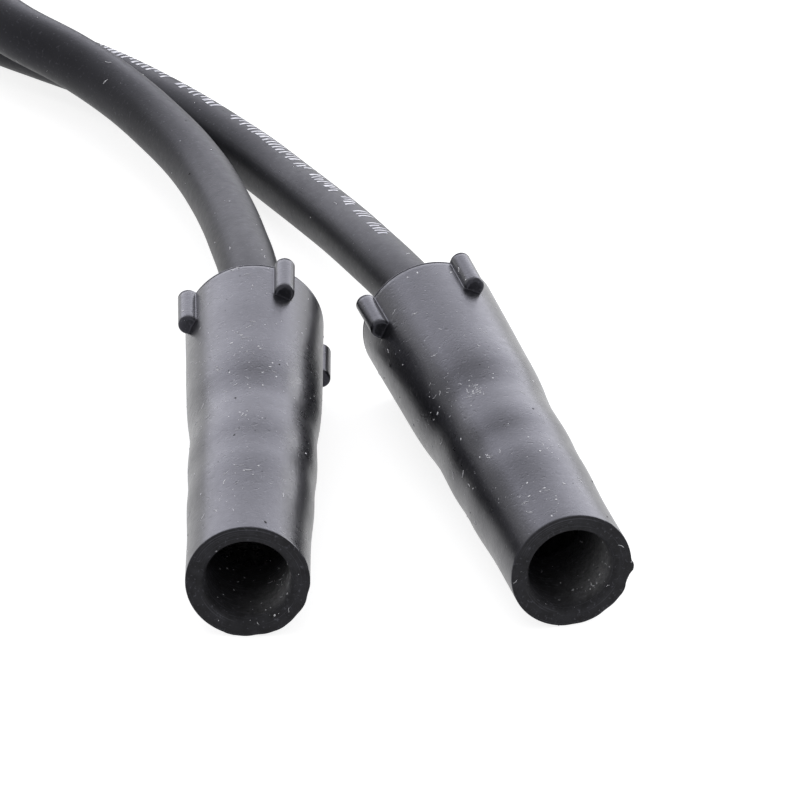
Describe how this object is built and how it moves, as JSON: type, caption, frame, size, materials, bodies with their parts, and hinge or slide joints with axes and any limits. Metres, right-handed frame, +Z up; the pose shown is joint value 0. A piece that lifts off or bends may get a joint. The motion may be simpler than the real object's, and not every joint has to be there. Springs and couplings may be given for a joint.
{
  "type": "spark plug wire",
  "caption": "Spark plug lead: a rubber-jacketed ignition wire with a straight ribbed boot and push-on terminal on each end, spare length coiled and tied.",
  "frame": {"origin": "on the bench, under the middle of the two boots", "axes": "+Z up from the bench, -Y the way both boot mouths face, +X from the plug end's boot to the cap end's boot"},
  "size_m": [0.0798, 0.2765, 0.02],
  "materials": {
    "boot_rubber": "satin moulded rubber with fine dust",
    "terminal_steel": "plated stamped sheet",
    "spring_steel": "drawn spring wire",
    "wire_core": "carbon-filled strand",
    "wire_jacket": "smooth satin jacket with a line of pale print",
    "tie_nylon": "moulded nylon"
  },
  "bodies": {
    "root": {"plug_end_boot": "boot_rubber", "plug_end_terminal": "terminal_steel", "plug_end_spring_clip": "spring_steel", "plug_end_core_tail": "wire_core", "cap_end_boot": "boot_rubber", "cap_end_terminal": "terminal_steel", "cap_end_spring_clip": "spring_steel", "cap_end_core_tail": "wire_core", "wire_plug_end": "wire_jacket", "wire_cap_end": "wire_jacket", "wire_coil": "wire_jacket", "cable_tie": "tie_nylon"}
  },
  "joints": []
}
